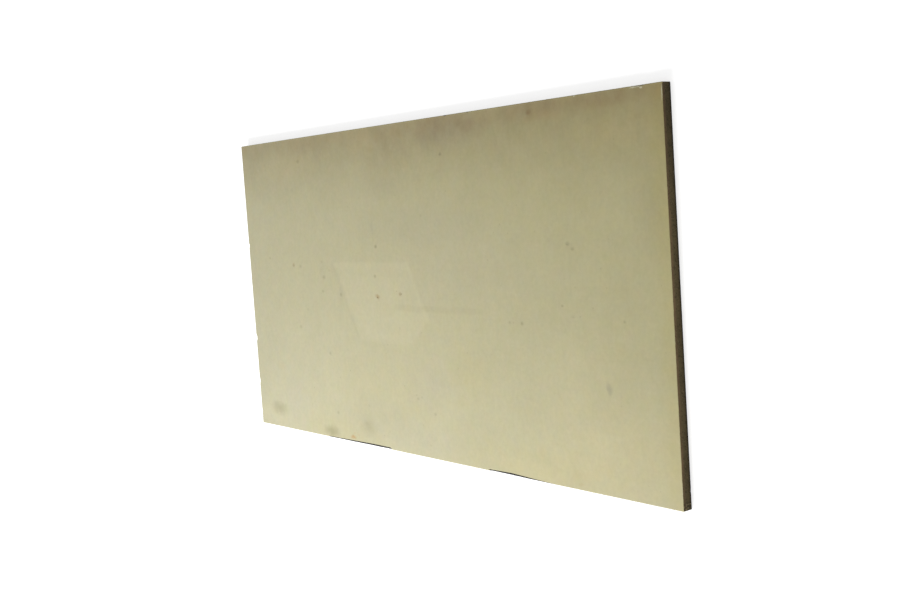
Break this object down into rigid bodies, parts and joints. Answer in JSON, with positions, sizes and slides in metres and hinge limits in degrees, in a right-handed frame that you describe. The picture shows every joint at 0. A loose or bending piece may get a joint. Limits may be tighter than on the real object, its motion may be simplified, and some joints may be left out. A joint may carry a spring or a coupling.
{
  "type": "faux stone wall panel",
  "caption": "Flat rectangular cast sheet with a smooth cream stone-look face, brown body at the edges and back, and worn, chipped arrises.",
  "frame": {"origin": "middle of the back face, which is the face the panel lies on", "axes": "+X along the length to the right end, +Y from the foot edge to the head edge, +Z out of the cream face"},
  "size_m": [2.44, 1.22, 0.035],
  "materials": {
    "faux_stone": "smooth satin cream face, matt brown body on the edges and back"
  },
  "bodies": {
    "root": {"panel": "faux_stone"}
  },
  "joints": []
}
